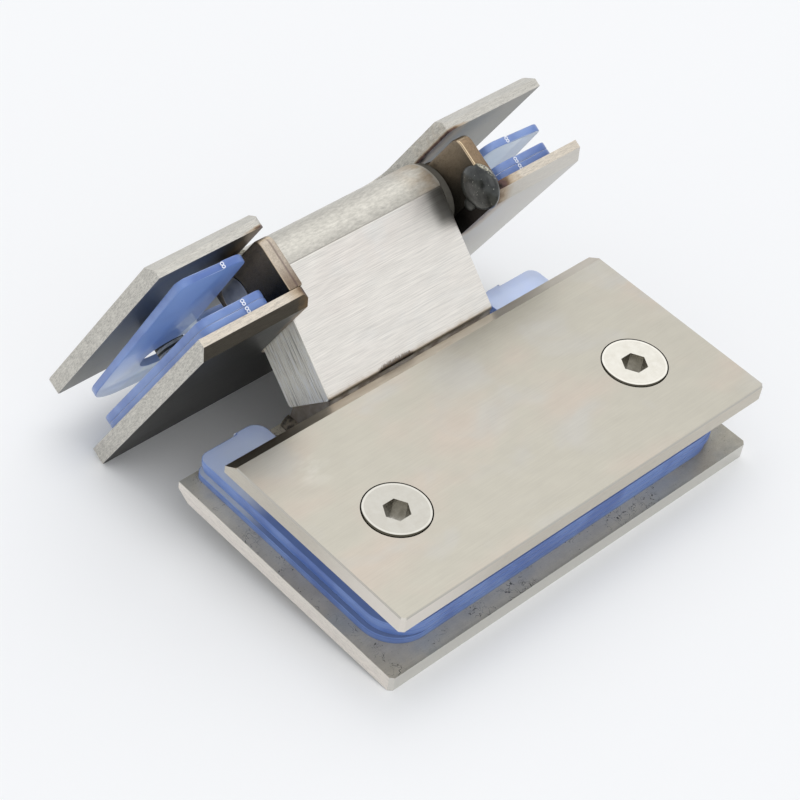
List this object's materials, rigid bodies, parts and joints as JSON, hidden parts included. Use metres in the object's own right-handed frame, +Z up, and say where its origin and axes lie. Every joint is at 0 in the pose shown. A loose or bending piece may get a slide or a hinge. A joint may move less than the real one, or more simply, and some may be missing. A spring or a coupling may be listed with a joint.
{
  "type": "glass door hinge",
  "caption": "Folded glass-to-glass door hinge: clamp plates with gaskets joined by a leaning block with a sprung pin and end ears.",
  "frame": {"origin": "on the surface it rests on, under the middle of the bounding box", "axes": "+X along the hinge line, +Y from the fixed clamp to the swinging clamp, +Z up"},
  "size_m": [0.09, 0.0942, 0.0544],
  "materials": {
    "brushed_plate": "brushed, satin, with faint heat patches",
    "block_steel": "brushed along the hinge line, matte turned barrel",
    "screw_steel": "bright polished heads",
    "pin_steel": "ground smooth",
    "ear_steel": "heat tinted brown from welding",
    "weld": "dark burnt weld",
    "foot_steel": "sooty from welding",
    "spring_steel": "plain wire",
    "bearing_plastic": "plain",
    "clear_gasket": "clear soft sheet, pale blue, vivid blue at its edges"
  },
  "bodies": {
    "fixed_clamp": {"fixed_inner_plate": "brushed_plate", "fixed_outer_plate": "brushed_plate", "fixed_screw_left": "screw_steel", "fixed_screw_right": "screw_steel", "fixed_gasket_bottom": "clear_gasket", "fixed_gasket_middle": "clear_gasket", "fixed_gasket_top": "clear_gasket", "hinge_block": "block_steel", "block_foot": "foot_steel", "foot_weld_left": "weld", "foot_weld_right": "weld", "spring_cover": "pin_steel", "spring_left": "spring_steel", "spring_right": "spring_steel", "bush_left": "bearing_plastic", "bush_right": "bearing_plastic", "washer_left": "bearing_plastic", "washer_right": "bearing_plastic"},
    "swinging_clamp": {"swing_front_plate": "brushed_plate", "swing_back_plate": "brushed_plate", "swing_screw_left": "screw_steel", "swing_screw_right": "screw_steel", "swing_gasket_outer": "clear_gasket", "swing_gasket_inner": "clear_gasket", "swing_gasket_loose": "clear_gasket", "ear_left": "ear_steel", "ear_right": "ear_steel", "pivot_pin": "pin_steel", "weld_bead": "weld"},
    "follower": {"follower": "pin_steel"}
  },
  "joints": [
    {"name": "swing", "type": "hinge", "parent": "fixed_clamp", "child": "swinging_clamp", "pos_m": [0, 0.0168, 0.037], "axis": [1, 0, 0], "range_deg": [0, 214]},
    {"name": "follower_slide", "type": "slide", "parent": "fixed_clamp", "child": "follower", "axis": [0, -0.601, -0.7993], "range_m": [0, 0.0008], "stiffness_N_per_m": 5000, "springref_m": -0.003, "deforming": ["spring_left", "spring_right"]}
  ]
}
